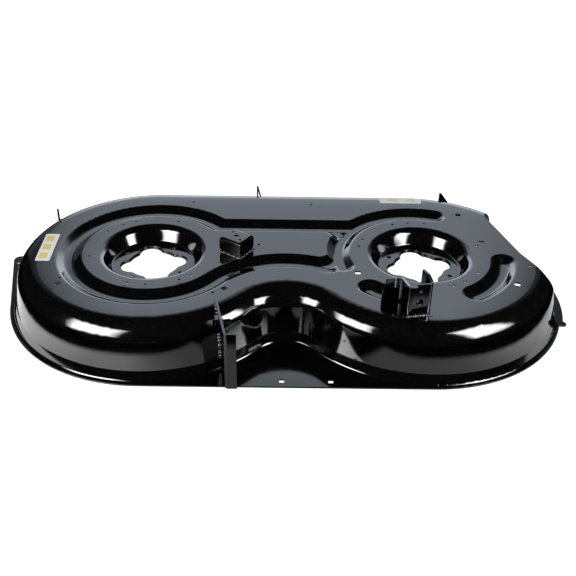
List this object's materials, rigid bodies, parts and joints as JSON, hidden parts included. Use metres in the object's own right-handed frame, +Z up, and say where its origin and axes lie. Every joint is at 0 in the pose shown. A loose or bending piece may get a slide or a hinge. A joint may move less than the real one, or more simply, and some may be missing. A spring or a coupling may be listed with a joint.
{
  "type": "lawn mower deck",
  "caption": "Pressed steel lawn mower deck shell with dished spindle openings, pressed channels, a waisted front with a flat lip, a side discharge opening and welded brackets.",
  "frame": {"origin": "on the floor under the middle of the part's footprint, the floor being the plane that the rim stands on", "axes": "+X along the line of the two spindles towards the discharge opening, +Y away from the waisted side with the flat lip, +Z up"},
  "size_m": [1.1448, 0.58, 0.182],
  "materials": {
    "black_coat": "gloss black powder coat over pressed steel",
    "white_vinyl": "plain white vinyl with plain yellow blocks"
  },
  "bodies": {
    "root": {"deck_shell": "black_coat", "left_spindle_plate": "black_coat", "right_spindle_plate": "black_coat", "idler_bracket": "black_coat", "hanger_bracket": "black_coat", "front_bracket": "black_coat", "lift_pin": "black_coat", "lift_pin_nut": "black_coat", "rear_right_ear": "black_coat", "rear_left_ear": "black_coat", "rear_clip": "black_coat", "left_sticker": "white_vinyl", "back_sticker": "white_vinyl"}
  },
  "joints": []
}
